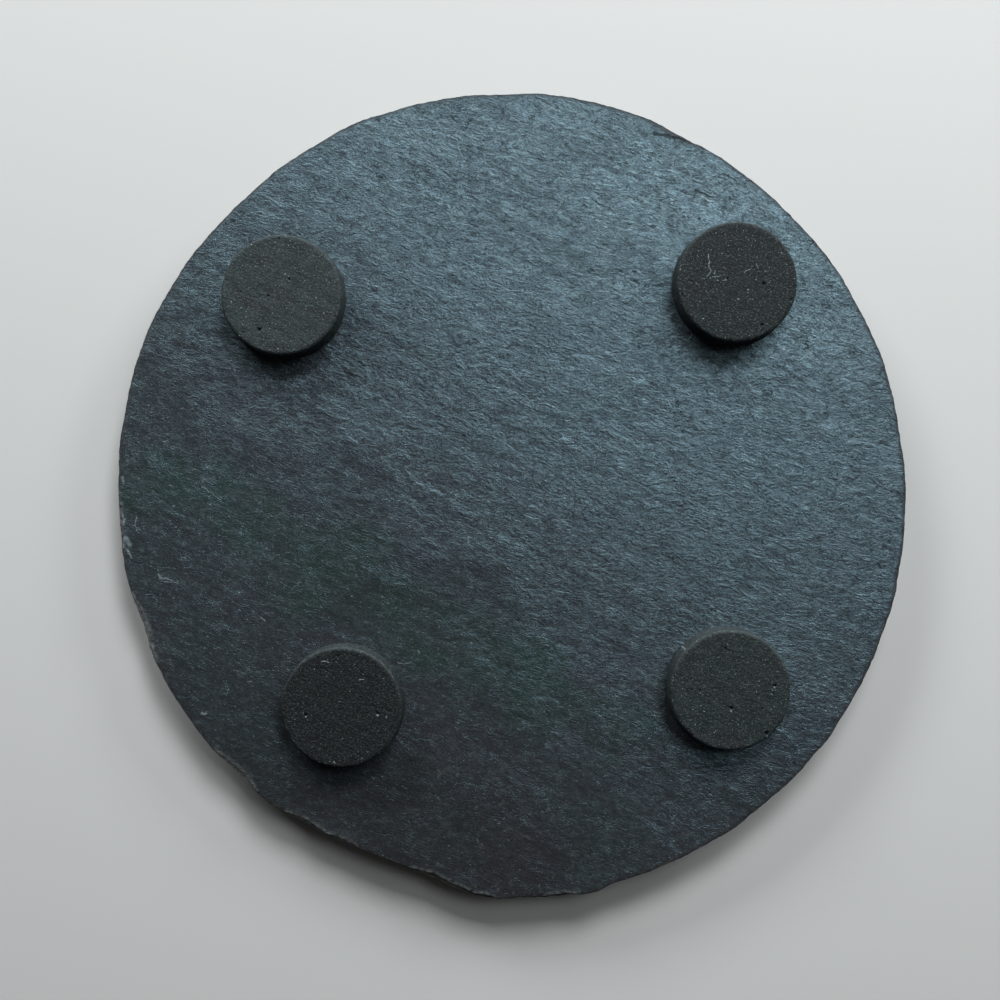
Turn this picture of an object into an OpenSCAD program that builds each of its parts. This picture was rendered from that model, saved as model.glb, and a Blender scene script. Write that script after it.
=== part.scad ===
// Slate coaster: a hand-cut round of riven slate on four foam feet, each held by a disc of adhesive film.
// It stands on its feet with the drinking face up. The origin is at table level, under the slate's middle.

/* [Slate] */
// Mean diameter of the slate across its underside
slate_d = 100; // [90:1:120]
// Thickness of the slate
slate_t = 5; // [4:0.5:8]
// How far the knapped rim steps back from the underside to the drinking face
rim_w = 2.8; // [1:0.2:5]
// Flakes struck off round the rim
flake_count = 37; // [20:1:48]
// Size of the largest chips along the edge of the underside
chip_w = 0.7; // [0.1:0.1:1]
// Depth of the shallow cleft in the drinking face
cleft_h = 0.35; // [0.1:0.05:0.6]
// Width of the cleft's sloping wall
cleft_wall_w = 0.7; // [0.3:0.1:1.5]

/* [Foam feet] */
// Diameter of a foot
foot_d = 15; // [10:0.5:18]
// Thickness of a foot
foot_t = 2.8; // [1.5:0.1:5]
// Rounding of a foot's edge at the table
foot_edge_r = 0.5; // [0.1:0.05:0.8]
// How far a foot widens on each side towards the slate
foot_flare = 0.15; // [0:0.05:0.4]

/* [Adhesive film] */
// Thickness of the film between a foot and the slate
film_t = 0.2; // [0.1:0.05:0.4]
// How far the film stays inside the foot's edge
film_inset = 0.1; // [0:0.05:0.5]

/* [Hidden] */
slate_colour = "#4d5961";
foam_colour = "#2b2f31";
film_colour = "#55554f";

// Where the feet were stuck by hand, as shares of the slate's diameter from its middle
foot_names = ["front_left", "front_right", "back_left", "back_right"];
foot_place_shares = [[-0.285, -0.248], [0.277, -0.264], [-0.211, 0.261], [0.269, 0.240]];

// Heights above the table
slate_bottom = foot_t + film_t;
slate_top = slate_bottom + slate_t;

// Waves of the hand-cut outline: waves round the rim, share of the radius, degrees of turn
outline_wave_shares = [
    [2, 0.011, -125], [3, 0.004, 175], [4, 0.0035, 65], [5, 0.003, -40], [6, 0.0035, -150],
    [7, 0.0025, 105], [9, 0.002, -80], [23, 0.0008, 40], [38, 0.0007, 100]
];
// Bulges and dents of the outline: direction in degrees, half width in degrees, share of the radius
outline_dent_shares = [
    [38, 3, 0.004], [57, 3, 0.004], [74, 4, -0.005], [79, 3, 0.006], [95, 6, 0.009], [107, 8, -0.008],
    [128, 5, 0.006], [160, 3, -0.004], [252, 3, -0.004], [275, 5, 0.005], [297, 5, -0.004], [330, 4, -0.004]
];

// The layers that show in the knapped rim, from the underside up:
// the height of each layer's top, and how far its edge steps back, as a share of the rim's width
layer_top_shares = [0.34, 0.56, 0.78, 1];
layer_back_shares = [0, 0.3, 0.33, 0.37];
// How far each layer's broken edge leans back, as a share of the layer's own height
edge_lean_share = 0.3;
// The part of a step-back that every flake has, and how rough each layer's own edge is
flake_base_share = 0.26;
edge_rough_share = 0.05;
// The length of a flake's scar at each layer, as a share of its length at the drinking face
scar_length_shares = [0.5, 0.66, 0.84, 1];

// Chips along the edge of the underside: direction in degrees, half width in degrees, share of chip_w
chip_shares = [
    [176, 5, 0.5], [160, 6, 1], [135, 5, 0.9], [122, 4, 0.7], [116, 3, 0.6], [100, 6, 1], [94, 2, 0.6],
    [83, 3, 0.5], [12, 3, 0.5], [-24, 3, 0.4], [-66, 5, 0.9], [-118, 3, 0.4]
];
// The worn edge between the chips, as a share of chip_w, and a chip's height as a share of its width
worn_edge_share = 0.16;
chip_h_share = 0.8;

// The cleft's wall lies at this share of the radius inside the rim, with waves as above
cleft_place_share = 0.75;
cleft_wave_shares = [
    [1, 0.06, 150], [2, 0.05, 20], [3, 0.045, 140], [5, 0.02, 60], [8, 0.014, 200], [13, 0.008, 10],
    [21, 0.005, 90], [34, 0.003, 15], [55, 0.002, 70]
];
// How much of the cleft's depth is left in each direction, before it is held between none and all
cleft_depth_mean_share = 0.2;
cleft_depth_wave_shares = [[1, 0.6, -60], [2, 0.5, 30], [5, 0.25, 75]];

// Directions round the slate
sectors = 360;
turns = [for (i = [0 : sectors - 1]) i * 360 / sectors];

function add(list) = list * [for (x = list) 1];
function waves(table, a) = add([for (w = table) w[1] * cos(w[0] * a + w[2])]);
function hold(x, low, high) = min(max(x, low), high);
function between(a, b) = abs((a - b + 900) % 360 - 180);
// How near direction a is to a place: 1 at the place, 0 from the half width on
function nearness(a, place, half_width) = max(0, 1 - pow(between(a, place) / half_width, 2));

// Radius of the hand-cut outline, and the middle of its box, which is set over the origin
function dents(a) = add([for (d = outline_dent_shares) d[2] * nearness(a, d[0], d[1])]);
function outline_r(a) = slate_d / 2 * (1 + waves(outline_wave_shares, a) + dents(a));
outline_x = [for (a = turns) outline_r(a) * cos(a)];
outline_y = [for (a = turns) outline_r(a) * sin(a)];
outline_mid = [min(outline_x) + max(outline_x), min(outline_y) + max(outline_y)] / 2;

// Flakes follow each other round the rim at uneven lengths. Each scar bites deepest at its middle,
// and narrows towards the underside at a place of its own between its ends.
function flake_at(a) =
    flake_count * a / 360 + 0.4 * sin(3 * a + 50) + 0.3 * sin(7 * a + 110) + 0.1 * sin(17 * a + 30);
function flake_size_share(n) = 0.62 + 0.38 * sin(137.5 * (n % flake_count));
function flake_side_share(n) = 0.8 * sin(97 * (n % flake_count));
function flake_bite_share(a, k) =
    let (
        at = flake_at(a) + flake_count,
        n = floor(at),
        off_middle = 2 * (at - n) - 1 - flake_side_share(n) * (1 - scar_length_shares[k])
    )
    flake_size_share(n) * max(0, 1 - pow(off_middle / scar_length_shares[k], 2));

// How far layer k's edge steps back from the outline
function step_back(a, k) = rim_w * layer_back_shares[k] * (
    flake_base_share
    + (1 - flake_base_share - edge_rough_share) * flake_bite_share(a, k)
    + edge_rough_share * cos((19 + 4 * k) * a + 80 * k)
);
function layer_back(a, k) = add([for (j = [0 : k]) step_back(a, j)]);
function layer_low(k) = k == 0 ? 0 : layer_top_shares[k - 1];
function layer_lean(k) = slate_t * (layer_top_shares[k] - layer_low(k)) * edge_lean_share;

// Width of the chipped edge of the underside
function chip_share(a) = max([for (c = chip_shares) c[2] * nearness(a, c[0], c[1])]);
function edge_w(a) = chip_w * max(worn_edge_share, chip_share(a));

// The drinking face: its edge, the wall of the cleft, and how deep the cleft is
last = len(layer_top_shares) - 1;
function face_r(a) = outline_r(a) - layer_back(a, last) - layer_lean(last);
function cleft_r(a) = (outline_r(a) - rim_w) * (cleft_place_share + waves(cleft_wave_shares, a));
function cleft_depth(a) =
    cleft_h * hold(cleft_depth_mean_share + waves(cleft_depth_wave_shares, a), 0, 1);

// The slate's section in direction a, from the underside's middle outwards and back over the drinking face:
// each entry is a radius and a height above the underside
function section(a) = concat(
    [[outline_r(a) - edge_w(a), 0]],
    [[outline_r(a), edge_w(a) * chip_h_share]],
    [[outline_r(a) - layer_lean(0), slate_t * layer_top_shares[0]]],
    [for (k = [1 : last]) each [
        [outline_r(a) - layer_back(a, k), slate_t * layer_low(k)],
        [outline_r(a) - layer_back(a, k) - layer_lean(k),
            slate_t * layer_top_shares[k] - (k == last ? cleft_depth(a) : 0)]
    ]],
    [[cleft_r(a) + cleft_wall_w, slate_t - cleft_depth(a)]],
    [[cleft_r(a), slate_t]]
);
rings = len(section(0));

function slate_point(a, p) = [
    p[0] * cos(a) - outline_mid[0],
    p[0] * sin(a) - outline_mid[1],
    p[1] + slate_bottom
];
slate_points = concat(
    [for (a = turns) each [for (p = section(a)) slate_point(a, p)]],
    [slate_point(0, [0, 0]), slate_point(0, [0, slate_t])]
);
function ring_point(i, j) = (i % sectors) * rings + j;
under_middle = sectors * rings;
face_middle = under_middle + 1;
slate_faces = concat(
    [for (i = [0 : sectors - 1]) each [for (j = [0 : rings - 2]) each [
        [ring_point(i, j), ring_point(i, j + 1), ring_point(i + 1, j + 1)],
        [ring_point(i, j), ring_point(i + 1, j + 1), ring_point(i + 1, j)]
    ]]],
    [for (i = [0 : sectors - 1]) each [
        [under_middle, ring_point(i, 0), ring_point(i + 1, 0)],
        [face_middle, ring_point(i + 1, rings - 1), ring_point(i, rings - 1)]
    ]]
);

module slate_disc() {
    color(slate_colour)
        polyhedron(points = slate_points, faces = slate_faces, convexity = 4);
}

// Half of a foot's section, with its edge at the table rounded
module foot_section() {
    polygon([
        [0, 0],
        [foot_d / 2 - foot_edge_r, 0],
        [foot_d / 2, foot_edge_r],
        [foot_d / 2 + foot_flare, foot_t],
        [0, foot_t]
    ]);
    translate([foot_d / 2 - foot_edge_r, foot_edge_r])
        circle(foot_edge_r, $fn = 16);
}

module at_foot(i) {
    translate(slate_d * foot_place_shares[i])
        children();
}

module foot(i) {
    color(foam_colour)
        at_foot(i)
            rotate_extrude($fn = 72)
                foot_section();
}

module adhesive(i) {
    color(film_colour)
        at_foot(i)
            translate([0, 0, foot_t])
                cylinder(d = foot_d - 2 * film_inset, h = film_t, $fn = 72);
}

slate_disc();
for (i = [0 : len(foot_names) - 1]) {
    foot(i);
    adhesive(i);
}
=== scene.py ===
# Slate drink coaster on four foam feet. It stands on its feet, with its drinking face up.
# The photograph shows the same coaster turned over, so its camera looks up at the underside:
# the photograph's right is +X, and its down is +Y.
import math
from types import SimpleNamespace

import bpy
import numpy as np
from mathutils import Matrix, Vector


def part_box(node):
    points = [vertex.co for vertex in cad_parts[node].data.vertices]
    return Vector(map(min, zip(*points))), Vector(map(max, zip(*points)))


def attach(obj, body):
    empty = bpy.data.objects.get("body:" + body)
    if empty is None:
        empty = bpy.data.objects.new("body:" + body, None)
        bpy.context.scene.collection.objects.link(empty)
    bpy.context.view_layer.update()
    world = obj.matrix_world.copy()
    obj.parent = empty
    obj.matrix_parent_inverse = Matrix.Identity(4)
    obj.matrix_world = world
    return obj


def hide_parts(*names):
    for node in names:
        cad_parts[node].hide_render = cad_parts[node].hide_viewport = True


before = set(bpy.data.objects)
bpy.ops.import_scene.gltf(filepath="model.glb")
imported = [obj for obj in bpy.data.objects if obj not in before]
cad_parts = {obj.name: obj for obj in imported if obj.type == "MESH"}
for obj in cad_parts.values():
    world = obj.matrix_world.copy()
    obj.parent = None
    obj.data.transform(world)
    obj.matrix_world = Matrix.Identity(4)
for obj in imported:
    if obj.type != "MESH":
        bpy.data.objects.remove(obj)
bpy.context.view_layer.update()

MM = 0.001
CORNERS = ("front_left", "front_right", "back_left", "back_right")

# Sizes and places, in millimetres
slate_low, slate_high = (np.array(corner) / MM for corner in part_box("slate_disc"))
SLATE_D = 100.0
SLATE_BOTTOM, SLATE_TOP = slate_low[2], slate_high[2]
SLATE_T = SLATE_TOP - SLATE_BOTTOM
RIM_W = 2.8
FLAKE_COUNT = 37
CHIP_W = 0.7
CLEFT_H = 0.35
CLEFT_WALL_W = 0.7
FOOT_EDGE_R = 0.5
FOOT_FLARE = 0.15

# The slate's outline, layers, chips and cleft, as the solid has them.
# The first seven waves are the rounded values of a fit to the real slate's edge.
OUTLINE_WAVE_SHARES = (
    (2, 0.011, -125), (3, 0.004, 175), (4, 0.0035, 65), (5, 0.003, -40), (6, 0.0035, -150),
    (7, 0.0025, 105), (9, 0.002, -80), (23, 0.0008, 40), (38, 0.0007, 100),
)
OUTLINE_DENT_SHARES = (
    (38, 3, 0.004), (57, 3, 0.004), (74, 4, -0.005), (79, 3, 0.006), (95, 6, 0.009), (107, 8, -0.008),
    (128, 5, 0.006), (160, 3, -0.004), (252, 3, -0.004), (275, 5, 0.005), (297, 5, -0.004), (330, 4, -0.004),
)
LAYER_TOP_SHARES = (0.34, 0.56, 0.78, 1.0)
LAYER_BACK_SHARES = (0.0, 0.3, 0.33, 0.37)
EDGE_LEAN_SHARE = 0.3
FLAKE_BASE_SHARE = 0.26
EDGE_ROUGH_SHARE = 0.05
SCAR_LENGTH_SHARES = (0.5, 0.66, 0.84, 1.0)
CHIP_SHARES = (
    (176, 5, 0.5), (160, 6, 1.0), (135, 5, 0.9), (122, 4, 0.7), (116, 3, 0.6), (100, 6, 1.0), (94, 2, 0.6),
    (83, 3, 0.5), (12, 3, 0.5), (-24, 3, 0.4), (-66, 5, 0.9), (-118, 3, 0.4),
)
WORN_EDGE_SHARE = 0.16
CHIP_H_SHARE = 0.8
CLEFT_PLACE_SHARE = 0.75
CLEFT_WAVE_SHARES = (
    (1, 0.06, 150), (2, 0.05, 20), (3, 0.045, 140), (5, 0.02, 60), (8, 0.014, 200), (13, 0.008, 10),
    (21, 0.005, 90), (34, 0.003, 15), (55, 0.002, 70),
)
CLEFT_DEPTH_MEAN_SHARE = 0.2
CLEFT_DEPTH_WAVE_SHARES = ((1, 0.6, -60), (2, 0.5, 30), (5, 0.25, 75))

# How finely the slate is meshed: points round a ring, rings of each face, and thin laminae in each layer
EDGE_POINTS = 720
RIM_POINTS = 1080
LEAST_POINTS = 6
UNDER_RINGS = 112
FACE_RINGS = 68
CLEFT_RINGS = 16
LAMINAE = (3, 2, 2, 3)

# Mean depth of each face's texture, and how far the drinking face's last ring stays inside its edge
UNDER_MEAN_DEPTH = 0.06
FACE_MEAN_DEPTH = 0.16
FACE_EDGE_IN = 0.2
# The share of a foot's radius within which the slate is flat for its film, and over which it turns riven
SEAT_SHARE = 0.9
SEAT_FADE_SHARE = 0.1

# Unevenness as the sum of noises: reach and size in millimetres, and seed
RAGGED_EDGE = ((0.05, 0.7, 5), (0.03, 0.3, 6))
RAGGED_CLEFT = ((0.25, 0.8, 7),)
LAMINA_WANDER = ((0.09, 1.3, 40), (0.05, 0.4, 80))
LAMINA_ROLL = ((0.12, 9.5, 60),)
# Where laminae are broken away: a noise that reaches 1, the depth, how abruptly, and above which level
LAMINA_BREAK = ((1.0, 3.6, 100),)
BREAK_DEPTH = 0.26
BREAK_SHARPNESS = 3
BREAK_THRESHOLD = 0.6
# How far each lamina steps back from the one below it in its layer
LAMINA_STEP = 0.08
# How a lamina's edge dips: depth in millimetres, dips in each millimetre, and seed
LAMINA_DIP, DIPS_PER_MM, DIP_SEED = 0.03, 1.7, 30

# The direction in which the edge of the underside is palest, as if it was chipped last
FRESH_TURN = 130
# How bare the stone is along that edge, where 0 is the riven face and 1 the broken rim
EDGE_BARE = 0.06
# How powdered the underside's last ring is, and how powdered and bare the arris beside it:
# where it is worn, and how much more where it was struck
EDGE_CHIPPED = (0.15, 0.65)
ARRIS_CHIPPED = (0.05, 0.85)
ARRIS_BARE = (0.1, 0.3)
ARRIS_RELIEF_SHARE = 0.7


def waves(table, a):
    """The sum of waves round the slate, each with its count, share and turn."""
    return sum(share * np.cos(np.radians(count * a + turn)) for count, share, turn in table)


def between(a, b):
    """The angle between two directions, in degrees."""
    return np.abs((a - b + 900) % 360 - 180)


def nearness(a, place, half_width):
    """How near direction a is to a place: 1 at the place, 0 from the half width on."""
    return np.maximum(0, 1 - (between(a, place) / half_width) ** 2)


def dents(a):
    return sum(share * nearness(a, at, half) for at, half, share in OUTLINE_DENT_SHARES)


def outline_r(a):
    return SLATE_D / 2 * (1 + waves(OUTLINE_WAVE_SHARES, a) + dents(a))


def flake_at(a):
    """The flake at direction a: its number, and as the fraction how far along it a is."""
    at = FLAKE_COUNT * a / 360 + 0.4 * np.sin(np.radians(3 * a + 50)) + 0.3 * np.sin(np.radians(7 * a + 110))
    return at + 0.1 * np.sin(np.radians(17 * a + 30))


def flake_size_share(n):
    return 0.62 + 0.38 * np.sin(np.radians(137.5 * (n % FLAKE_COUNT)))


def flake_side_share(n):
    return 0.8 * np.sin(np.radians(97 * (n % FLAKE_COUNT)))


def flake_bite_share(a, k):
    """How deep the flake at direction a bites into layer k."""
    at = flake_at(a) + FLAKE_COUNT
    n = np.floor(at)
    off_middle = 2 * (at - n) - 1 - flake_side_share(n) * (1 - SCAR_LENGTH_SHARES[k])
    return flake_size_share(n) * np.maximum(0, 1 - (off_middle / SCAR_LENGTH_SHARES[k]) ** 2)


def step_back(a, k):
    """How far layer k's edge steps back from the layer below it."""
    rough = EDGE_ROUGH_SHARE * np.cos(np.radians((19 + 4 * k) * a + 80 * k))
    bite = (1 - FLAKE_BASE_SHARE - EDGE_ROUGH_SHARE) * flake_bite_share(a, k)
    return RIM_W * LAYER_BACK_SHARES[k] * (FLAKE_BASE_SHARE + bite + rough)


def layer_back(a, k):
    """How far layer k's edge stays back from the outline."""
    return sum(step_back(a, j) for j in range(k + 1))


def layer_low(k):
    return LAYER_TOP_SHARES[k - 1] if k else 0.0


def layer_lean(k):
    return SLATE_T * (LAYER_TOP_SHARES[k] - layer_low(k)) * EDGE_LEAN_SHARE


def chip_share(a):
    return np.max([share * nearness(a, at, half) for at, half, share in CHIP_SHARES], axis=0)


def edge_w(a):
    """Width of the chipped edge of the underside."""
    return CHIP_W * np.maximum(WORN_EDGE_SHARE, chip_share(a))


LAST = len(LAYER_TOP_SHARES) - 1


def face_r(a):
    """Radius of the drinking face's edge."""
    return outline_r(a) - layer_back(a, LAST) - layer_lean(LAST)


def cleft_r(a):
    """Radius of the top of the cleft's wall."""
    return (outline_r(a) - RIM_W) * (CLEFT_PLACE_SHARE + waves(CLEFT_WAVE_SHARES, a))


def cleft_depth(a):
    return CLEFT_H * np.clip(CLEFT_DEPTH_MEAN_SHARE + waves(CLEFT_DEPTH_WAVE_SHARES, a), 0, 1)


# The outline's box is set over the origin
solid_turns = np.arange(360)
outline_x = outline_r(solid_turns) * np.cos(np.radians(solid_turns))
outline_y = outline_r(solid_turns) * np.sin(np.radians(solid_turns))
MIDDLE = np.array([outline_x.min() + outline_x.max(), outline_y.min() + outline_y.max()]) / 2

NOISE_CELLS = 128
OCTAVE_SHIFT = (7.3, -3.1)


def noise(x, y, seed):
    """Smooth noise from -1 to 1, with features about one unit across."""
    table = np.random.RandomState(seed).uniform(-1, 1, (NOISE_CELLS, NOISE_CELLS))
    column, row = np.floor(x).astype(int), np.floor(y).astype(int)
    u, v = x - column, y - row
    u, v = u * u * (3 - 2 * u), v * v * (3 - 2 * v)

    def corner(i, j):
        return table[(column + i) % NOISE_CELLS, (row + j) % NOISE_CELLS]

    low = corner(0, 0) * (1 - u) + corner(1, 0) * u
    high = corner(0, 1) * (1 - u) + corner(1, 1) * u
    return low * (1 - v) + high * v


def uneven(table, x, y, own_seed=0):
    return sum(reach * noise(x / size, y / size, seed + own_seed) for reach, size, seed in table)


def grain(x, y, turn, along, across, seed, octaves=2):
    """Noise stretched along a direction: each octave has half the size and half the height of the last."""
    c, s = math.cos(math.radians(turn)), math.sin(math.radians(turn))
    u, v = (c * x + s * y) / along, (c * y - s * x) / across
    total = 0
    for n in range(octaves):
        size = 2 ** n
        shift_u, shift_v = OCTAVE_SHIFT[0] * n, OCTAVE_SHIFT[1] * n
        total = total + noise(u * size + shift_u, v * size + shift_v, seed + n) / size
    return total / (2 - 2 / 2 ** octaves)


def terraces(level, steps, sharpness):
    """Turns a smooth level into flat treads with steep risers, as cleaved stone has."""
    scaled = level * steps
    whole = np.floor(scaled)
    part = np.clip((scaled - whole - 0.5) * sharpness + 0.5, 0, 1)
    return (whole + part * part * (3 - 2 * part)) / steps


def under_relief(x, y):
    """Height of the underside's riven texture over its plane, in millimetres into the stone."""
    swell = 0.09 * grain(x, y, turn=32, along=34, across=16, seed=11)
    bands = 0.022 * grain(x, y, turn=32, along=14, across=3.2, seed=23)
    treads = terraces(grain(x, y, turn=18, along=17, across=6, seed=37, octaves=3), steps=5, sharpness=5)
    ripples = 0.014 * grain(x, y, turn=14, along=3.0, across=1.5, seed=51)
    return (UNDER_MEAN_DEPTH + swell + bands + 0.07 * treads + ripples) * seat_mask(x, y)


def face_relief(x, y):
    """Height of the drinking face's riven texture over its plane: below 0, which is into the stone."""
    swell = 0.12 * grain(x, y, turn=-25, along=30, across=18, seed=71)
    treads = terraces(grain(x, y, turn=-40, along=20, across=8, seed=83, octaves=4), steps=6, sharpness=4)
    ripples = 0.045 * grain(x, y, turn=-30, along=4.5, across=1.8, seed=97)
    return -(FACE_MEAN_DEPTH + swell + 0.20 * treads + ripples)


def bridge(inner, outer):
    """Triangles between two rings of evenly spaced points, which may differ in number."""
    faces, i, j = [], 0, 0
    n, m = len(inner), len(outer)
    while i < n or j < m:
        if j < m and (i >= n or (j + 1) * n <= (i + 1) * m):
            faces.append((outer[(j + 1) % m], outer[j], inner[i % n]))
            j += 1
        else:
            faces.append((inner[(i + 1) % n], outer[j % m], inner[i]))
            i += 1
    return faces


class Rings:
    """Rings of points in order along a mesh, with the values that its material reads at each point."""

    def __init__(self, *names):
        self.points = []
        self.values = {name: [] for name in names}

    def add(self, points, **values):
        self.points.append(points)
        for name, parts in self.values.items():
            parts.append(np.broadcast_to(values.get(name, 0.0), len(points)))


def lathe_mesh(name, rings):
    """A closed, smooth mesh through rings of points, the first and last of which are single points."""
    starts = np.cumsum([0] + [len(ring) for ring in rings.points])
    index = [list(range(start, end)) for start, end in zip(starts[:-1], starts[1:])]
    faces = []
    for low, high in zip(index[:-1], index[1:]):
        if len(low) == 1:
            faces += [(low[0], high[(j + 1) % len(high)], high[j]) for j in range(len(high))]
        elif len(high) == 1:
            faces += [(low[(j + 1) % len(low)], high[0], low[j]) for j in range(len(low))]
        else:
            faces += bridge(low, high)
    mesh = bpy.data.meshes.new(name)
    mesh.from_pydata((np.concatenate(rings.points) * MM).tolist(), [], faces)
    for key, parts in rings.values.items():
        attribute = mesh.attributes.new(key, "FLOAT", "POINT")
        attribute.data.foreach_set("value", np.concatenate(parts).astype(np.float32))
    mesh.polygons.foreach_set("use_smooth", np.ones(len(mesh.polygons), dtype=bool))
    mesh.update()
    return mesh


def add_object(name, data):
    obj = bpy.data.objects.new(name, data)
    bpy.context.scene.collection.objects.link(obj)
    return obj


def turns_of(count):
    return np.arange(count) * 360 / count


def polar(a, r):
    return r * np.cos(np.radians(a)) - MIDDLE[0], r * np.sin(np.radians(a)) - MIDDLE[1]


def foot_form(corner):
    """A foot's middle, the radius of its face and its height."""
    low, high = (np.array(end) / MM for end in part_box(f"foot_{corner}"))
    radius = (high[0] - low[0]) / 2 - FOOT_FLARE
    return SimpleNamespace(middle=(low + high) / 2, radius=radius, height=high[2] - low[2])


FEET = {corner: foot_form(corner) for corner in CORNERS}


def on_foot(foot, across, down):
    """A place on a foot's face, given as shares of its radius from its middle."""
    return foot.middle[0] + across * foot.radius, foot.middle[1] + down * foot.radius


def seat_mask(x, y):
    """0 where a foot's film lies flat on the slate, 1 from the foot's edge outwards."""
    mask = np.ones_like(x)
    for foot in FEET.values():
        gone = np.hypot(x - foot.middle[0], y - foot.middle[1]) / foot.radius
        mask = np.minimum(mask, np.clip((gone - SEAT_SHARE) / SEAT_FADE_SHARE, 0, 1))
    return mask


def level_ring(a, r, height, relief):
    """Points of one ring of a riven face, in directions a at radii r."""
    x, y = polar(a, r)
    return np.stack([x, y, height + relief(x, y)], axis=1)


def inner_turns(share):
    """Directions of a ring at a share of the way out, with points about as far apart as at the edge."""
    return turns_of(max(LEAST_POINTS, round(EDGE_POINTS * share)))


def add_underside(rings):
    """The underside from its middle out to its edge."""
    rings.add(level_ring(np.zeros(1), np.zeros(1), SLATE_BOTTOM, under_relief))
    for n in range(1, UNDER_RINGS):
        share = n / UNDER_RINGS
        a = inner_turns(share)
        rings.add(level_ring(a, share * (outline_r(a) - edge_w(a)), SLATE_BOTTOM, under_relief))
    a = turns_of(RIM_POINTS)
    struck = (chip_share(a) > WORN_EDGE_SHARE) & (between(a, FRESH_TURN) < 90)
    edge = level_ring(a, outline_r(a) - edge_w(a), SLATE_BOTTOM, under_relief)
    rings.add(edge, bare=EDGE_BARE, chipped=EDGE_CHIPPED[0] + EDGE_CHIPPED[1] * struck)


def add_rim(rings):
    """The chipped arris, then the rim's layers, each split into laminae with their own broken edges."""
    a = turns_of(RIM_POINTS)
    edge_x, edge_y = polar(a, outline_r(a))
    ragged = uneven(RAGGED_EDGE, edge_x, edge_y)
    x, y = polar(a, outline_r(a) + ragged)
    arris_z = SLATE_BOTTOM + under_relief(x, y) * ARRIS_RELIEF_SHARE + edge_w(a) * CHIP_H_SHARE
    fresh = 0.5 + 0.5 * np.cos(np.radians(a - FRESH_TURN))
    chipping = np.minimum(1, chip_share(a) * 3) * fresh
    rings.add(
        np.stack([x, y, arris_z], axis=1),
        bare=ARRIS_BARE[0] + ARRIS_BARE[1] * chipping,
        chipped=ARRIS_CHIPPED[0] + ARRIS_CHIPPED[1] * chipping,
    )

    for k, parts in enumerate(LAMINAE):
        low = SLATE_T * layer_low(k)
        high = SLATE_T * LAYER_TOP_SHARES[k] - (cleft_depth(a) if k == LAST else 0)
        back, lean = layer_back(a, k), layer_lean(k)
        for part in range(parts):
            own_seed = 10 * k + part
            broken = BREAK_SHARPNESS * uneven(LAMINA_BREAK, edge_x, edge_y, own_seed) - BREAK_THRESHOLD
            lost = np.abs(uneven(LAMINA_WANDER, edge_x, edge_y, own_seed))
            lost = lost + BREAK_DEPTH * np.clip(broken, 0, 1)
            step = LAMINA_STEP * part + lost
            roll = uneven(LAMINA_ROLL, edge_x, edge_y, own_seed)
            # The lowest lamina starts from the arris
            ends = (1,) if k == 0 and part == 0 else (0, 1)
            for end in ends:
                share = (part + end) / parts
                r = outline_r(a) - back - lean * share - step + ragged * (k == 0)
                inner_roll = roll * math.sin(math.pi * share) if 0 < share < 1 else 0
                level = SLATE_BOTTOM + low + (high - low) * share + inner_roll
                x, y = polar(a, r)
                dip = LAMINA_DIP * noise(x * DIPS_PER_MM, y * DIPS_PER_MM, DIP_SEED + own_seed)
                rings.add(np.stack([x, y, level + dip], axis=1), bare=1.0)


def wall_r(a):
    """Radius of the top of the cleft's wall as it is seen, ragged."""
    x, y = polar(a, cleft_r(a))
    return cleft_r(a) + uneven(RAGGED_CLEFT, x, y)


def add_drinking_face(rings):
    """The drinking face from its edge in to its middle. Its rings lie along the cleft's wall."""
    a = turns_of(EDGE_POINTS)
    for n in range(CLEFT_RINGS - 1, -1, -1):
        width = face_r(a) - FACE_EDGE_IN - wall_r(a) - CLEFT_WALL_W
        r = wall_r(a) + CLEFT_WALL_W + n / CLEFT_RINGS * width
        rings.add(level_ring(a, r, SLATE_TOP - cleft_depth(a), face_relief))
    for n in range(FACE_RINGS, 0, -1):
        share = n / FACE_RINGS
        a = inner_turns(share)
        rings.add(level_ring(a, share * wall_r(a), SLATE_TOP, face_relief))
    rings.add(level_ring(np.zeros(1), np.zeros(1), SLATE_TOP, face_relief))


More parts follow.
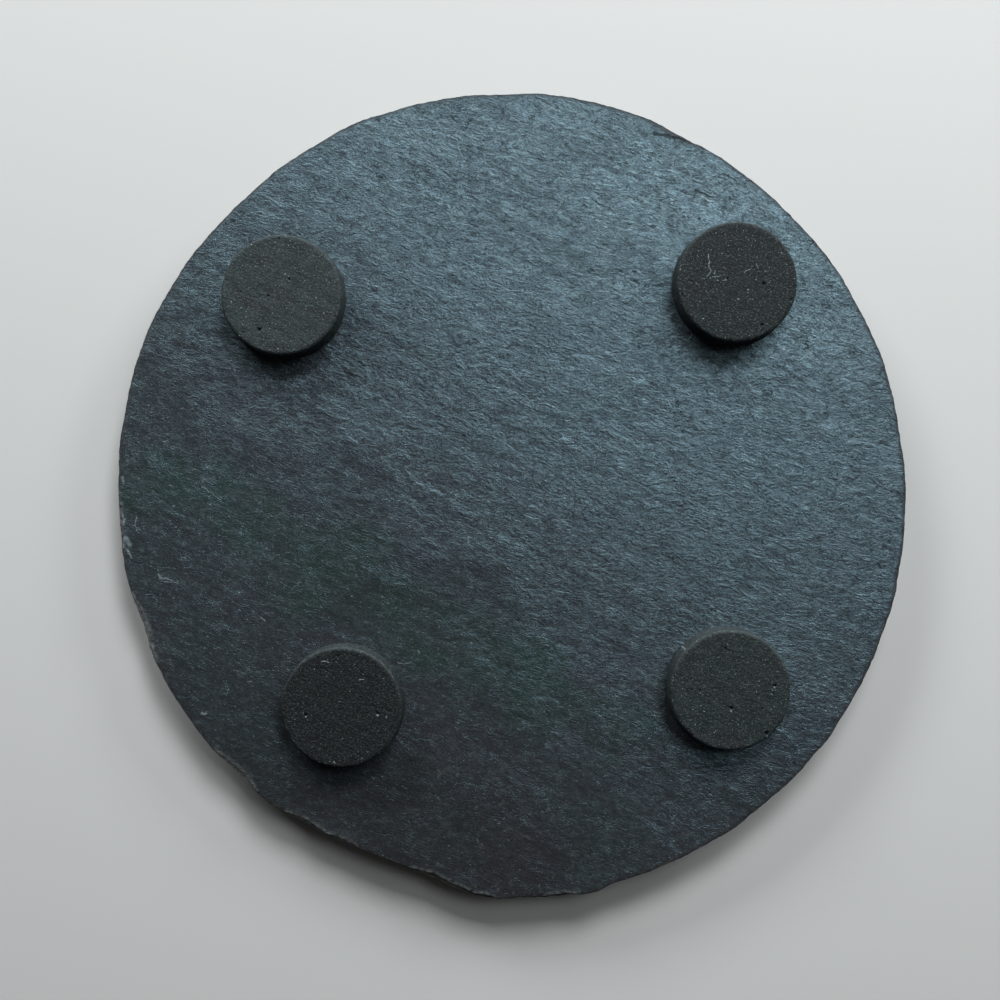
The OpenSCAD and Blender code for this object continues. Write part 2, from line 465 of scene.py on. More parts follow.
class Shader:
    """A material and short calls for building its nodes."""

    def __init__(self, name):
        self.material = bpy.data.materials.new(name)
        self.material.use_nodes = True
        self.tree = self.material.node_tree
        self.surface = self.tree.nodes["Principled BSDF"]
        self.place = self.add("ShaderNodeTexCoord").outputs["Object"]

    def add(self, kind, inputs=None, **settings):
        node = self.tree.nodes.new(kind)
        for key, value in settings.items():
            setattr(node, key, value)
        for key, value in (inputs or {}).items():
            self.feed(node.inputs[key], value)
        return node

    def feed(self, socket, value):
        if isinstance(value, bpy.types.NodeSocket):
            self.tree.links.new(value, socket)
        else:
            socket.default_value = value

    def set(self, name, value):
        self.feed(self.surface.inputs[name], value)

    def math(self, operation, *values, clamp=False):
        node = self.add("ShaderNodeMath", operation=operation, use_clamp=clamp)
        for socket, value in zip(node.inputs, values):
            self.feed(socket, value)
        return node.outputs[0]

    def times(self, first, *others):
        for other in others:
            first = self.math("MULTIPLY", first, other)
        return first

    def largest(self, first, *others):
        for other in others:
            first = self.math("MAXIMUM", first, other)
        return first

    def vector(self, operation, *values, scale=None):
        node = self.add("ShaderNodeVectorMath", operation=operation)
        for socket, value in zip(node.inputs, values):
            self.feed(socket, value)
        if scale is not None:
            self.feed(node.inputs["Scale"], scale)
        return node.outputs["Value"] if operation in ("LENGTH", "DOT_PRODUCT") else node.outputs["Vector"]

    def ramp(self, value, low, high, to_low=0.0, to_high=1.0, shape="LINEAR"):
        inputs = {"Value": value, "From Min": low, "From Max": high, "To Min": to_low, "To Max": to_high}
        return self.add("ShaderNodeMapRange", inputs, interpolation_type=shape).outputs["Result"]

    def mix(self, share, a, b):
        node = self.add("ShaderNodeMix", data_type="RGBA")
        self.feed(node.inputs["Factor"], share)
        self.feed(node.inputs["A"], a if isinstance(a, bpy.types.NodeSocket) else (*a, 1))
        self.feed(node.inputs["B"], b if isinstance(b, bpy.types.NodeSocket) else (*b, 1))
        return node.outputs["Result"]

    def stretched(self, turn, along, across):
        """Object coordinates turned to a grain direction and counted in grain lengths, in millimetres."""
        inputs = {"Vector": self.place, "Rotation": (0, 0, math.radians(-turn))}
        turned = self.add("ShaderNodeMapping", inputs).outputs[0]
        size = (1 / (along * MM), 1 / (across * MM), 1 / (across * MM))
        return self.vector("MULTIPLY", turned, size)

    def layered(self, flat, thin):
        """Object coordinates counted in the length and thickness of thin level layers, in millimetres."""
        return self.vector("MULTIPLY", self.place, (1 / (flat * MM), 1 / (flat * MM), 1 / (thin * MM)))

    def noise_node(self, place, detail, roughness=0.5, distortion=0.0):
        inputs = {"Vector": place, "Scale": 1.0, "Detail": detail, "Roughness": roughness,
                  "Distortion": distortion}
        return self.add("ShaderNodeTexNoise", inputs)

    def noise(self, place, detail, roughness=0.5, distortion=0.0):
        return self.noise_node(place, detail, roughness, distortion).outputs[0]

    def off_middle(self, pattern):
        """How far a noise is from its middle value: 0 along the thin lines where it crosses that value."""
        return self.math("ABSOLUTE", self.math("SUBTRACT", pattern, 0.5))

    def attribute(self, name):
        return self.add("ShaderNodeAttribute", attribute_name=name).outputs["Fac"]

    def bump(self, *layers):
        """The surface's normal over layers of relief, each with a pattern and a depth in millimetres."""
        normal = None
        for pattern, depth in layers:
            inputs = {"Height": pattern, "Distance": depth * MM}
            if normal is not None:
                inputs["Normal"] = normal
            normal = self.add("ShaderNodeBump", inputs).outputs[0]
        return normal

    def shaken(self, size, reach):
        """Object coordinates moved about by noise, so that lines drawn on them wander, in millimetres."""
        wander = self.noise_node(self.stretched(0, size, size), 3.0).outputs["Color"]
        away = self.vector("SUBTRACT", wander, (0.5, 0.5, 0.5))
        return self.vector("ADD", self.place, self.vector("SCALE", away, scale=reach * MM))

    def line(self, place, start, end, width):
        """1 on a thin line between two places given in millimetres, and 0 beside it."""
        a, b = Vector((*start, 0)) * MM, Vector((*end, 0)) * MM
        along = b - a
        flat = self.vector("MULTIPLY", place, (1, 1, 0))
        gone = self.vector("SUBTRACT", flat, a)
        share = self.vector("DOT_PRODUCT", gone, along / along.length_squared)
        held = self.math("MULTIPLY", share, 1.0, clamp=True)
        reached = self.vector("SCALE", along, scale=held)
        away = self.vector("LENGTH", self.vector("SUBTRACT", gone, reached))
        return self.ramp(away, width * MM / 2, width * MM / 5)

    def lines(self, place, marks):
        return self.largest(*[self.line(place, *mark) for mark in marks])


# Marks on the underside, in millimetres from the middle of the slate, with +X right and +Y down:
# start, end and width of each
PALE_MARKS = (
    ((-39.1, -1.2), (-36.65, 0.4), 0.16), ((-40.0, -3.4), (-39.3, -3.1), 0.14),
    ((-44.6, 9.9), (-44.1, 10.4), 0.28), ((-44.1, 10.4), (-42.9, 10.6), 0.24),
    ((-44.3, 10.7), (-42.2, 11.0), 0.16), ((-14.5, 21.0), (-12.6, 21.0), 0.12),
    ((-31.6, 15.3), (-31.2, 15.7), 0.22), ((-33.4, 23.4), (-32.8, 23.4), 0.2),
    ((11.8, -33.9), (12.0, -33.9), 0.25), ((-21.3, 17.7), (-21.2, 17.8), 0.3),
    ((-11.8, 19.5), (-11.7, 19.6), 0.3), ((-44.0, -9.6), (-43.9, -9.6), 0.25),
    ((-45.9, -11.3), (-45.8, -11.3), 0.25), ((-42.6, 1.3), (-42.5, 1.3), 0.22),
    ((-47.1, -2.3), (-47.0, -2.2), 0.25), ((-39.0, 27.3), (-38.6, 27.4), 0.3),
    ((-49.1, -2.4), (-49.0, -1.7), 0.5), ((-49.0, 2.4), (-48.9, 3.6), 0.3),
    ((-48.7, 5.3), (-48.2, 6.0), 0.8), ((-48.5, 6.8), (-48.0, 7.7), 0.5),
    ((-47.4, 2.6), (-47.3, 4.4), 0.16), ((23.4, -37.9), (25.2, -37.1), 0.28),
    ((15.0, -33.7), (15.4, -33.6), 0.3),
)
DARK_MARKS = (
    ((23.1, -38.5), (25.3, -37.7), 0.35), ((10.5, -37.2), (11.3, -36.5), 0.3),
    ((14.7, -34.2), (15.0, -34.1), 0.4), ((15.2, -28.3), (15.6, -28.2), 0.35),
    ((23.4, -35.0), (23.6, -34.9), 0.4), ((18.0, -39.1), (18.3, -39.0), 0.35),
    ((46.1, 8.6), (46.5, 8.9), 0.35), ((43.4, 20.6), (43.8, 20.8), 0.3),
    ((17.9, -45.7), (21.8, -44.9), 0.7),
)
GREEN_BAND = (
    ((-50, -3), (-38, 0), 11), ((-38, 0), (-24, 10), 13), ((-24, 10), (-12, 15), 15),
    ((-12, 15), (5, 26), 13), ((5, 26), (14, 31), 9),
)
# Where the underside shines more or less than round about: start, end, width and share.
# They follow light and dark areas of the photograph: painted sheen and painted shade, not the stone's own
# shine.
SHEEN_PATCHES = (
    ((-17, 7), (-1, 15), 16, 0.84), ((-22, 41), (0, 46), 20, 0.7), ((22, 34), (34, 22), 24, 1.25),
    ((20, -36), (34, -24), 22, 1.15), ((-46, 2), (-38, 12), 30, 1.25),
)

# Colours of the slate, with the sheen and shade painted on it, as linear red, green and blue
PURPLE_STONE = (0.0155, 0.0125, 0.0148)
GREY_STONE = (0.0136, 0.0136, 0.0147)
GREEN_STONE = (0.0107, 0.0163, 0.0129)
PAINTED_BLUE_SHEEN = (0.0135, 0.0160, 0.0200)
STREAK_STONE = (0.022, 0.022, 0.022)
RIDGE_STONE = (0.044, 0.048, 0.048)
DARK_MARK_AND_CRACK_SHADE = (0.008, 0.009, 0.010)
SPECK = (0.13, 0.145, 0.15)
SCRATCH = (0.16, 0.18, 0.185)
BROKEN_STONE = (0.036, 0.041, 0.044)
BROKEN_POWDER = (0.120, 0.129, 0.133)
LAYER_GAP_SHADE = (0.020, 0.022, 0.024)
CHIP_POWDER = (0.22, 0.23, 0.23)
SHEEN_TINT = (0.58, 0.87, 1.0)


def slate_grains(s):
    """The patterns that the slate's colour, sheen and relief share, named for what they draw."""
    g = SimpleNamespace(bare=s.attribute("bare"))
    riven = s.math("SUBTRACT", 1.0, g.bare, clamp=True)
    g.patch = s.noise(s.stretched(20, 22, 15), 4, 0.6)
    g.calm = s.noise(s.stretched(30, 9, 5), 2)
    g.streak = s.noise(s.stretched(28, 3.6, 1.3), 4, 0.65, 0.5)
    g.ridge = s.noise(s.stretched(13, 1.3, 0.85), 6, 0.74, 0.4)
    g.grit = s.noise(s.stretched(8, 0.28, 0.20), 3, 0.7)
    g.fold = s.off_middle(s.noise(s.stretched(17, 1.7, 0.85), 5, 0.68, 0.5))
    # The stone is riven more coarsely towards the photograph's top right
    # The same ramp also paints a bluer tone and more shine towards the top right: painted sheen
    g.coarse = s.ramp(s.vector("DOT_PRODUCT", s.place, (0.6, -0.8, 0)), -0.024, 0.036, 0.32, 1.35)
    g.busy = s.times(s.ramp(g.calm, 0.35, 0.65, 0.8, 1.2), g.coarse, riven)

    # Overlapping scales of stone, each with a gentle rise and a sharp lower edge
    wander = s.noise(s.stretched(14, 1.9, 0.95), 3, 0.7, 0.4)
    down = s.add("ShaderNodeSeparateXYZ", {"Vector": s.stretched(14, 1, 0.6)}).outputs["Y"]
    rise = s.math("FRACT", s.math("ADD", down, s.times(wander, 6.0)))
    rise = s.math("MINIMUM", rise, s.times(s.math("SUBTRACT", 1.0, rise), 6.0))
    g.scale = s.times(rise, s.ramp(g.streak, 0.38, 0.62, 0.15, 1.0))

    # Short cracks between the scales
    bend = s.noise(s.stretched(18, 2.8, 1.2), 3, 0.6, 0.6)
    broken_off = s.noise(s.stretched(24, 2.6, 1.6), 2)
    g.crack = s.times(s.ramp(s.off_middle(bend), 0.014, 0.0), s.ramp(broken_off, 0.48, 0.58), riven)

    # The broken rim: thin layers seen from their edge, powdered where they were struck
    g.layers = s.noise(s.layered(2.6, 0.16), 4, 0.65, 0.3)
    g.powder = s.ramp(s.noise(s.stretched(0, 0.6, 0.6), 5, 0.7), 0.36, 0.66)

    # Marks at their places on the underside
    g.blown = s.shaken(7, 16)
    place = s.shaken(0.8, 0.8)
    height = s.add("ShaderNodeSeparateXYZ", {"Vector": s.place}).outputs["Z"]
    under = s.ramp(height, (SLATE_BOTTOM + 0.8) * MM, (SLATE_BOTTOM + 1.2) * MM, 1, 0)
    g.pale = s.times(s.lines(place, PALE_MARKS), under, s.ramp(g.ridge, 0.35, 0.6, 0.35, 0.75))
    # Dark marks, and painted shade along the cracks
    g.dark = s.largest(s.times(s.lines(place, DARK_MARKS), under), s.times(g.crack, 0.6))
    return g


def slate_colour(s, g):
    """Purple-grey stone, with a green band across the darker half of the underside, a pale rim, and painted
    sheen and shade.
    """
    stone = s.mix(s.ramp(g.patch, 0.38, 0.62), PURPLE_STONE, GREY_STONE)
    band = s.times(s.lines(g.blown, GREEN_BAND), s.ramp(g.calm, 0.38, 0.60, 0.4, 0.9))
    stone = s.mix(band, stone, GREEN_STONE)
    # Bluer towards the top right, where the stone shines most: a painted blue sheen
    stone = s.mix(s.ramp(g.coarse, 0.55, 1.1, 0.0, 0.8), stone, PAINTED_BLUE_SHEEN)
    stone = s.mix(s.ramp(g.streak, 0.4, 0.75, 0.0, 0.35), stone, STREAK_STONE)
    stone = s.mix(s.ramp(g.ridge, 0.52, 0.72, 0.0, 0.5), stone, RIDGE_STONE)
    speck = s.noise(s.stretched(10, 0.38, 0.26), 2, 0.6)
    stone = s.mix(s.ramp(speck, 0.66, 0.76, 0.0, 0.8), stone, SPECK)
    stone = s.mix(g.pale, stone, SCRATCH)
    rim = s.mix(g.powder, BROKEN_STONE, BROKEN_POWDER)
    # Painted shade in the gaps between the rim's thin layers
    rim = s.mix(s.ramp(g.layers, 0.45, 0.36), rim, LAYER_GAP_SHADE)
    stone = s.mix(g.bare, stone, rim)
    stone = s.mix(s.times(s.attribute("chipped"), g.powder, 0.75), stone, CHIP_POWDER)
    # Darker on dark marks, and painted shade in the cracks
    return s.mix(s.times(g.dark, 0.8), stone, DARK_MARK_AND_CRACK_SHADE)


def slate_sheen(s, g):
    """How strongly the stone shines: most on grit and ridges, less on dark marks and the edge, with painted
    shade in cracks and folds and painted sheen by place.
    """
    sheen = s.math("ADD", s.ramp(g.grit, 0.34, 0.66, 0.1, 0.58), s.ramp(g.ridge, 0.3, 0.7, 0.0, 0.44))
    bands = s.noise(s.stretched(33, 15, 1.5), 3, 0.6)
    # Painted shade: less shine in cracks and folds. Painted sheen: more shine towards the top right
    sheen = s.times(
        sheen,
        s.ramp(g.dark, 0.0, 1.0, 1.0, 0.3),
        s.ramp(g.coarse, 0.34, 0.74, 0.95, 0.90),
        s.ramp(g.coarse, 0.80, 1.35, 1.0, 1.36),
        s.ramp(g.fold, 0.0, 0.035, 0.5, 1.06),
        s.ramp(bands, 0.35, 0.65, 0.84, 1.08),
    )
    # Painted sheen and painted shade in broad patches
    for start, end, width, share in SHEEN_PATCHES:
        sheen = s.times(sheen, s.ramp(s.line(g.blown, start, end, width), 0.0, 1.0, 1.0, share))
    return s.times(sheen, s.ramp(g.bare, 0.0, EDGE_BARE, 1.0, 0.25))


def slate_relief(s, g):
    """Relief that is too fine for the mesh: riven texture on the faces, and thin layers in the rim."""
    return s.bump(
        (s.times(g.grit, s.ramp(g.coarse, 0.34, 1.35, 0.6, 1.2)), 0.028),
        (s.times(g.ridge, g.busy), 0.115),
        (s.times(g.fold, g.busy), 0.200),
        (s.times(g.scale, g.busy), 0.060),
        (s.times(g.crack, s.times(g.coarse, -1.0)), 0.070),
        (s.times(g.layers, g.bare), 0.110),
        (s.times(g.streak, g.busy), 0.030),
    )


def slate_material():
    s = Shader("slate")
    g = slate_grains(s)
    s.set("Base Color", slate_colour(s, g))
    s.set("Roughness", s.largest(
        s.ramp(g.coarse, 0.34, 0.9, 0.42, 0.32),
        s.ramp(g.bare, 0.0, EDGE_BARE, 0.32, 0.55),
    ))
    s.set("IOR", 1.7)
    s.set("Specular IOR Level", slate_sheen(s, g))
    s.set("Specular Tint", (*SHEEN_TINT, 1))
    s.set("Normal", slate_relief(s, g))
    return s.material


def mark_sharp_edges(mesh, rings):
    """Makes the laminae's edges sharp: they are the edges that run along the rim's own rings."""
    own_ring = np.concatenate([np.full(len(ring), k) for k, ring in enumerate(rings.points)])
    in_rim = np.concatenate(rings.values["bare"]) > 0.5
    ends = np.empty(2 * len(mesh.edges), dtype=np.int32)
    mesh.edges.foreach_get("vertices", ends)
    start, end = ends.reshape(-1, 2).T
    sharp = (own_ring[start] == own_ring[end]) & in_rim[start] & in_rim[end]
    mesh.attributes.new("sharp_edge", "BOOLEAN", "EDGE").data.foreach_set("value", sharp)


def make_slate():
    """The slate, from the underside's middle round the rim and in over the drinking face."""
    rings = Rings("bare", "chipped")
    add_underside(rings)
    add_rim(rings)
    add_drinking_face(rings)
    mesh = lathe_mesh("slate_body", rings)
    mark_sharp_edges(mesh, rings)
    mesh.materials.append(slate_material())
    slate = add_object("slate", mesh)
    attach(slate, "root")
    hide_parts("slate_disc")


# Each foot's own marks, as shares of its radius from its middle, seen from below with +X right and +Y down:
# pores (x, y, size), pale flecks (x, y, size), and lint as lines through points.
# tone is how bright the foam is, and grain how much brighter than that its cells are. Both are painted light
# and shade: they follow each foot's look in the photograph, and the four feet are probably one foam in
# different light.
FOOT_MARKS = {
    "front_left": {
        "tone": 1.08,
        "grain": 1.15,
        "pores": (
            (0.14, -0.25, 1.1), (-0.21, 0.02, 1.0), (-0.36, 0.575, 1.5), (-0.74, 0.63, 1.4),
            (-0.61, 0.615, 0.8), (-0.66, -0.055, 0.8), (-0.04, -0.93, 1.1), (-0.9, -0.24, 0.8),
            (-0.72, 0.255, 0.7),
        ),
        "flecks": ((0.57, 0.05, 1.0), (-0.03, -0.73, 0.8), (-0.76, 0.66, 1.1), (0.14, -0.22, 0.7)),
        "lint": (),
    },
    "front_right": {
        "tone": 0.36,
        "grain": 3.2,
        "pores": (
            (0.44, 0.03, 1.3), (0.41, 0.705, 1.3), (0.9, 0.3, 1.4), (0.93, -0.24, 0.9),
            (-0.9, 0.22, 0.8), (0.59, 0.57, 0.7), (-0.16, -0.05, 0.9),
        ),
        "flecks": (
            (-0.32, -0.03, 1.1), (0.18, 0.12, 1.1), (0.02, 0.28, 1.2), (-0.94, 0.12, 0.9),
            (0.25, 0.29, 0.8), (-0.44, -0.055, 0.8),
        ),
        "lint": (
            ((-0.467, -0.45), (-0.458, -0.243), (-0.435, -0.18), (-0.498, -0.077)),
            ((-0.41, -0.09), (-0.29, -0.085)), ((-0.23, -0.025), (-0.17, -0.025)),
            ((0.12, -0.15), (0.17, -0.17), (0.21, -0.21)), ((0.315, -0.29), (0.35, -0.24)),
            ((-0.36, -0.18), (-0.38, -0.13)),
        ),
    },
    "back_left": {
        "tone": 0.24,
        "grain": 3.2,
        "pores": (
            (-0.58, 0.12, 1.1), (0.6, 0.09, 1.2), (-0.05, -0.855, 1.0), (0.83, 0.47, 1.2),
            (-0.91, 0.255, 0.8),
        ),
        "flecks": (
            (0.6, 0.13, 1.2), (-0.02, -0.107, 0.9), (-0.11, 0.9, 1.1), (0.74, 0.155, 0.9),
            (-0.58, 0.15, 0.8), (0.35, 0.83, 0.7),
        ),
        "lint": (((-0.32, -0.757), (-0.2, -0.757)), ((0.3, -0.47), (0.375, -0.47))),
    },
    "back_right": {
        "tone": 0.66,
        "grain": 1.7,
        "pores": (
            (0.72, -0.08, 1.2), (0.015, 0.29, 1.4), (0.6, 0.7, 1.8), (-0.085, -0.69, 1.0),
            (-0.51, 0.0, 1.0), (-0.65, -0.02, 0.8), (0.517, 0.295, 0.8),
        ),
        "flecks": (
            (0.72, -0.05, 1.1), (0.01, 0.34, 0.9), (0.6, 0.745, 1.4), (-0.747, -0.683, 1.4),
            (0.77, -0.32, 0.8), (-0.5, 0.03, 0.8),
        ),
        "lint": (),
    },
}
# Sizes of those marks in millimetres, where their size is 1
PORE_R = 0.16
PORE_DEPTH = 0.3
FLECK_R = 0.11
FLECK_REACH = (0.04, 0.02)
LINT_W = 0.12

# Colours of the foam, where its tone is 1: each foot's tone scales them, as painted light and shade
FOAM_PURPLE = (0.0108, 0.0112, 0.0138)
FOAM_GREEN = (0.0092, 0.0145, 0.0128)
FOAM_LUMP = (0.032, 0.040, 0.042)
FOAM_SMEAR = (0.044, 0.058, 0.060)
FOAM_CELL = (0.048, 0.062, 0.064)
FOAM_GLINT = (0.22, 0.27, 0.27)
# Colours that are the same on every foot: painted shade in its small holes, painted light on its edge and
# wall, and lint
FOAM_HOLE_SHADE = (0.004, 0.005, 0.005)
PAINTED_EDGE_LIGHT = (0.056, 0.066, 0.068)
FOAM_LINT = (0.20, 0.23, 0.22)


def foam_material(corner):
    look, foot = FOOT_MARKS[corner], FEET[corner]
    s = Shader(f"foam_{corner}")

    # A colour scaled by the foot's tone, and by its grain where given: painted light and shade
    def toned_in_painted_light(colour, share=1.0):
        return [look["tone"] * share * v for v in colour]

    cells = s.noise(s.stretched(0, 0.27, 0.22), 3, 0.7)
    fine = s.noise(s.stretched(40, 0.24, 0.24), 2, 0.6)
    cloud = s.noise(s.stretched(35, 5, 3.5), 3, 0.6)
    lump = s.noise(s.stretched(25, 1.7, 1.2), 4, 0.7, 0.3)
    smear = s.noise(s.stretched(20, 1.6, 0.3), 3, 0.6)
    foam = s.mix(s.ramp(cloud, 0.40, 0.60), toned_in_painted_light(FOAM_PURPLE), toned_in_painted_light(FOAM_GREEN))
    foam = s.mix(s.ramp(lump, 0.42, 0.66, 0.0, 0.55), foam, toned_in_painted_light(FOAM_LUMP))
    foam = s.mix(s.ramp(cells, 0.52, 0.70), foam, toned_in_painted_light(FOAM_CELL, look["grain"]))
    foam = s.mix(s.ramp(fine, 0.66, 0.74), foam, toned_in_painted_light(FOAM_GLINT, look["grain"]))
    # Painted shade in the foam's small holes
    foam = s.mix(s.ramp(fine, 0.40, 0.30, 0.0, 0.8), foam, FOAM_HOLE_SHADE)
    foam = s.mix(s.ramp(smear, 0.5, 0.75, 0.0, 0.35), foam, toned_in_painted_light(FOAM_SMEAR))

    # Painted highlight on the rounded edge and painted light on the wall, as the wall attribute holds them
    wall = s.ramp(s.noise(s.stretched(0, 0.5, 0.4), 4, 0.7), 0.36, 0.66, 0.2, 1.0)
    foam = s.mix(s.times(s.attribute("wall"), wall), foam, PAINTED_EDGE_LIGHT)

    marks = []
    for across, down, size in look["flecks"]:
        start = on_foot(foot, across, down)
        marks.append((start, np.add(start, FLECK_REACH), 2 * FLECK_R * size))
    for path in look["lint"]:
        marks += [(on_foot(foot, *p), on_foot(foot, *q), LINT_W) for p, q in zip(path[:-1], path[1:])]
    foam = s.mix(s.times(s.lines(s.shaken(0.5, 0.5), marks), 0.7), foam, FOAM_LINT)
    s.set("Base Color", foam)
    s.set("Roughness", 0.74)
    s.set("Specular IOR Level", 0.2)
    s.set("Normal", s.bump((fine, 0.04), (cells, 0.10), (lump, 0.16), (smear, 0.04)))
    return s.material


# How finely a foot is meshed
FOOT_POINTS = 330
FOOT_FACE_RINGS = 54
FOOT_WALL_RINGS = 12
# Painted light on a foot: how pale its rounded edge is, as a painted highlight, ring by ring from its face
# to its wall, and how pale the wall is
EDGE_PAINTED_HIGHLIGHT = (0.1, 0.3, 0.7, 1.0, 0.9, 0.7)
WALL_PAINTED_LIGHT = 0.65
# The part of that paleness left on the sides away from the photograph's top: painted shade, as those sides
# look darker there
SHADED_SIDE_SHARE = 0.35
# How uneven the foam's face is: depth in millimetres, and dips in each millimetre
FACE_DIP, FACE_DIPS_PER_MM = 0.012, 0.7
# How uneven the cut round a foot is: reach in millimetres, and how many times it changes over the radius
FOOT_CUT = ((0.03, 3), (0.025, 16))
# How far that cut stays inside the foot's own radius, and the waist that the die leaves in the wall
CUT_IN = 0.03
WAIST = 0.05


def foot_rings(corner, seed):
    """A die-cut foam disc: open pores in its face, a soft edge at the table and a slightly flared wall."""
    foot = FEET[corner]
    rings = Rings("wall")

    def face_height(x, y):
        z = FACE_DIP * (1 + noise(x * FACE_DIPS_PER_MM, y * FACE_DIPS_PER_MM, seed + 1))
        for across, down, size in FOOT_MARKS[corner]["pores"]:
            pore_x, pore_y = on_foot(foot, across, down)
            gone = np.hypot(x - pore_x, y - pore_y) / (PORE_R * size)
            z = z + PORE_DEPTH * size * np.maximum(0, 1 - gone ** 2) ** 0.7
        return z

    def add(count, r, z=None, painted_light=0.0):
        turn = np.radians(turns_of(count))
        c, s = np.cos(turn), np.sin(turn)
        for reach, changes in FOOT_CUT:
            r = r + reach * noise(changes * c, changes * s, seed)
        x, y = foot.middle[0] + r * c, foot.middle[1] + r * s
        z = face_height(x, y) if z is None else np.full(count, z)
        # Painted shade: that paleness is fullest on the side towards -Y, and only a share of it on the other
        # sides
        lit_side_share = SHADED_SIDE_SHARE + (1 - SHADED_SIDE_SHARE) * np.maximum(0, -s)
        rings.add(np.stack([x, y, z], axis=1), wall=painted_light * lit_side_share)

    rings.add(np.array([[foot.middle[0], foot.middle[1], FACE_DIP]]))
    flat_r = foot.radius - FOOT_EDGE_R - CUT_IN
    for n in range(1, FOOT_FACE_RINGS + 1):
        share = n / FOOT_FACE_RINGS
        add(max(LEAST_POINTS, round(FOOT_POINTS * share)), flat_r * share)
    for n, painted_light in enumerate(EDGE_PAINTED_HIGHLIGHT, start=1):
        turn = math.radians(90 * n / len(EDGE_PAINTED_HIGHLIGHT))
        add(FOOT_POINTS, flat_r + FOOT_EDGE_R * math.sin(turn), FOOT_EDGE_R * (1 - math.cos(turn)), painted_light)
    for n in range(1, FOOT_WALL_RINGS + 1):
        share = n / FOOT_WALL_RINGS
        r = flat_r + FOOT_EDGE_R + FOOT_FLARE * share - WAIST * math.sin(math.pi * share)
        add(FOOT_POINTS, r, FOOT_EDGE_R + (foot.height - FOOT_EDGE_R) * share, WALL_PAINTED_LIGHT)
    add(FOOT_POINTS // 2, foot.radius / 2, foot.height)
    rings.add(np.array([[foot.middle[0], foot.middle[1], foot.height]]))
    return rings


def make_foot(corner, seed):
    mesh = lathe_mesh(f"foam_{corner}_body", foot_rings(corner, seed))
    mesh.materials.append(foam_material(corner))
    foot = add_object(f"foam_{corner}", mesh)
    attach(foot, "root")
    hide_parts(f"foot_{corner}")


def film_material():
    s = Shader("adhesive_film")
    ripple = s.noise(s.stretched(15, 1.5, 0.5), 3, 0.6)
    s.set("Base Color", s.mix(ripple, (0.05, 0.052, 0.05), (0.11, 0.112, 0.105)))
    s.set("Roughness", 0.35)
    s.set("Normal", s.bump((ripple, 0.02)))
    return s.material


def make_films():
    """Dresses the frame's own films, which are true as they are."""
    material = film_material()
    for corner in CORNERS:
        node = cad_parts[f"adhesive_{corner}"]
        for slot in node.material_slots:
            slot.material = material


# The camera of the photograph: below the coaster, looking straight up at its underside.
# Its distance rests on the thickness of the feet, which is a guess.
PIXELS_PER_MM = 7.94
PHOTO_WIDTH = 1000
CAMERA_AWAY = 136.0
SLATE_MIDDLE_PX = (512, 496)


def make_camera():
    camera = bpy.data.cameras.new("camera")
    camera.sensor_width = 36
    seen = PHOTO_WIDTH / PIXELS_PER_MM
    camera.lens = camera.sensor_width * CAMERA_AWAY / seen
    camera.clip_start, camera.clip_end = 0.01, 20
    obj = add_object("camera", camera)
    x = (PHOTO_WIDTH / 2 - SLATE_MIDDLE_PX[0]) / PIXELS_PER_MM
    y = (PHOTO_WIDTH / 2 - SLATE_MIDDLE_PX[1]) / PIXELS_PER_MM
    turned_over = Matrix.Rotation(math.pi, 4, "X")
    obj.matrix_world = Matrix.Translation(Vector((x, y, SLATE_BOTTOM - CAMERA_AWAY)) * MM) @ turned_over
    bpy.context.scene.camera = obj


COOL = (0.90, 0.97, 1.0)
PALE_COOL = (0.95, 0.98, 1.0)
WHITE = (1.0, 1.0, 1.0)
# Lamps, in metres: name, place, size, how bright a white face turned to it would be, and colour.
# Those below the coaster began as a fit to the brightness in the photograph, and were then set one by one.
LAMPS = (
    ("left_below", (-0.23, -0.40, -0.19), (0.26, 0.12), 1.00, COOL),
    ("middle_below", (0.10, -0.37, -0.32), (0.18, 0.14), 1.00, COOL),
    ("right_below", (0.33, -0.33, -0.19), (0.18, 0.12), 0.50, COOL),
    ("high_below", (0.20, -0.17, -0.42), (0.20, 0.14), 0.27, COOL),
    ("ceiling", (0.0, 0.0, 0.9), (1.0, 1.0), 0.35, PALE_COOL),
    ("key_above", (0.24, -0.36, 0.62), (0.34, 0.26), 0.9, PALE_COOL),
    ("fill_above", (-0.40, 0.20, 0.35), (0.4, 0.4), 0.22, WHITE),
)


def make_lamp(name, place, size, brightness, colour):
    """An oblong lamp aimed at the coaster."""
    lamp = bpy.data.lights.new(name, "AREA")
    lamp.shape = "RECTANGLE"
    lamp.size, lamp.size_y = size
    away = Vector(place)
    lamp.energy = brightness * math.pi ** 2 * away.length_squared
    lamp.color = colour
    obj = add_object(name, lamp)
    obj.location = away
    obj.rotation_euler = (-away).to_track_quat("-Z", "Y").to_euler()


# The stage's size, and the distances over which it fades out, in millimetres
STAGE_HALF_W = 3000
STAGE_FADE = (70, 380)
STAGE_WARMTH = (1.0, 0.965, 0.935)
# Its planes: name, height, the side that shows (1 for the top) and tone
STAGE_PLANES = (
    ("floor", 0.0, 1, 0.60),
    ("table_below", SLATE_TOP + 0.15, -1, 0.46),
)


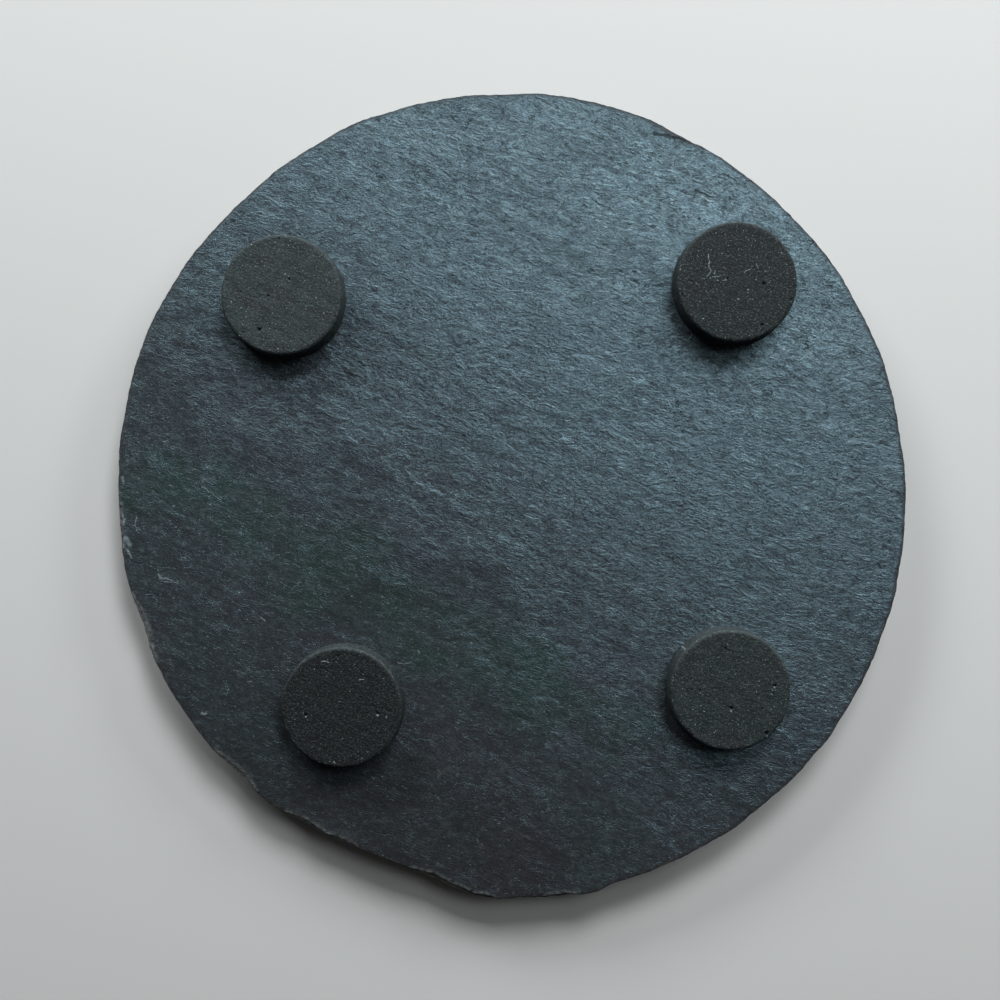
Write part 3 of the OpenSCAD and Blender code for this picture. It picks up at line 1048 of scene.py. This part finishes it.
def stage_material(name, tone):
    """Pale paint that fades out away from the coaster, and shows from one side only."""
    s = Shader(name)
    paint = s.add("ShaderNodeBsdfDiffuse", {"Color": (*(tone * v for v in STAGE_WARMTH), 1)})
    clear = s.add("ShaderNodeBsdfTransparent")
    behind = s.add("ShaderNodeNewGeometry").outputs["Backfacing"]
    away = s.vector("LENGTH", s.place)
    fade = s.ramp(away, STAGE_FADE[0] * MM, STAGE_FADE[1] * MM, shape="SMOOTHSTEP")
    hidden = s.largest(fade, behind)
    seen = s.add("ShaderNodeMixShader", {0: hidden, 1: paint.outputs[0], 2: clear.outputs[0]})
    s.feed(s.tree.nodes["Material Output"].inputs["Surface"], seen.outputs[0])
    return s.material


def make_stage():
    """A pale floor under the feet, and the pale table that the turned-over coaster lies on.

    Each shows to the camera from one side only: the floor from above, the table from below.
    """
    half = STAGE_HALF_W * MM
    for name, height, facing, tone in STAGE_PLANES:
        z = height * MM
        corners = [(-half, -half, z), (half, -half, z), (half, half, z), (-half, half, z)]
        mesh = bpy.data.meshes.new(name)
        mesh.from_pydata(corners, [], [(0, 1, 2, 3)[::facing]])
        mesh.materials.append(stage_material(name, tone))
        plane = add_object(name, mesh)
        for kind in ("diffuse", "glossy", "transmission", "volume_scatter", "shadow"):
            setattr(plane, f"visible_{kind}", False)


# The room's colour, and the share of its brightness that lights the coaster
ROOM_COLOUR = (0.59, 0.58, 0.565)
ROOM_LIGHT_SHARE = 0.05


def make_world():
    """A pale room for the camera, which lights the coaster only faintly."""
    world = bpy.data.worlds.new("studio")
    bpy.context.scene.world = world
    world.use_nodes = True
    tree = world.node_tree
    background = tree.nodes["Background"]
    background.inputs["Color"].default_value = (*ROOM_COLOUR, 1)
    seen = tree.nodes.new("ShaderNodeLightPath").outputs["Is Camera Ray"]
    strength = tree.nodes.new("ShaderNodeMapRange")
    tree.links.new(seen, strength.inputs["Value"])
    strength.inputs["To Min"].default_value = ROOM_LIGHT_SHARE
    strength.inputs["To Max"].default_value = 1.0
    tree.links.new(strength.outputs["Result"], background.inputs["Strength"])


make_camera()
make_slate()
for number, corner in enumerate(CORNERS):
    make_foot(corner, seed=200 + 10 * number)
make_films()
make_stage()
make_world()
for lamp in LAMPS:
    make_lamp(*lamp)
bpy.context.scene.view_settings.view_transform = "Standard"
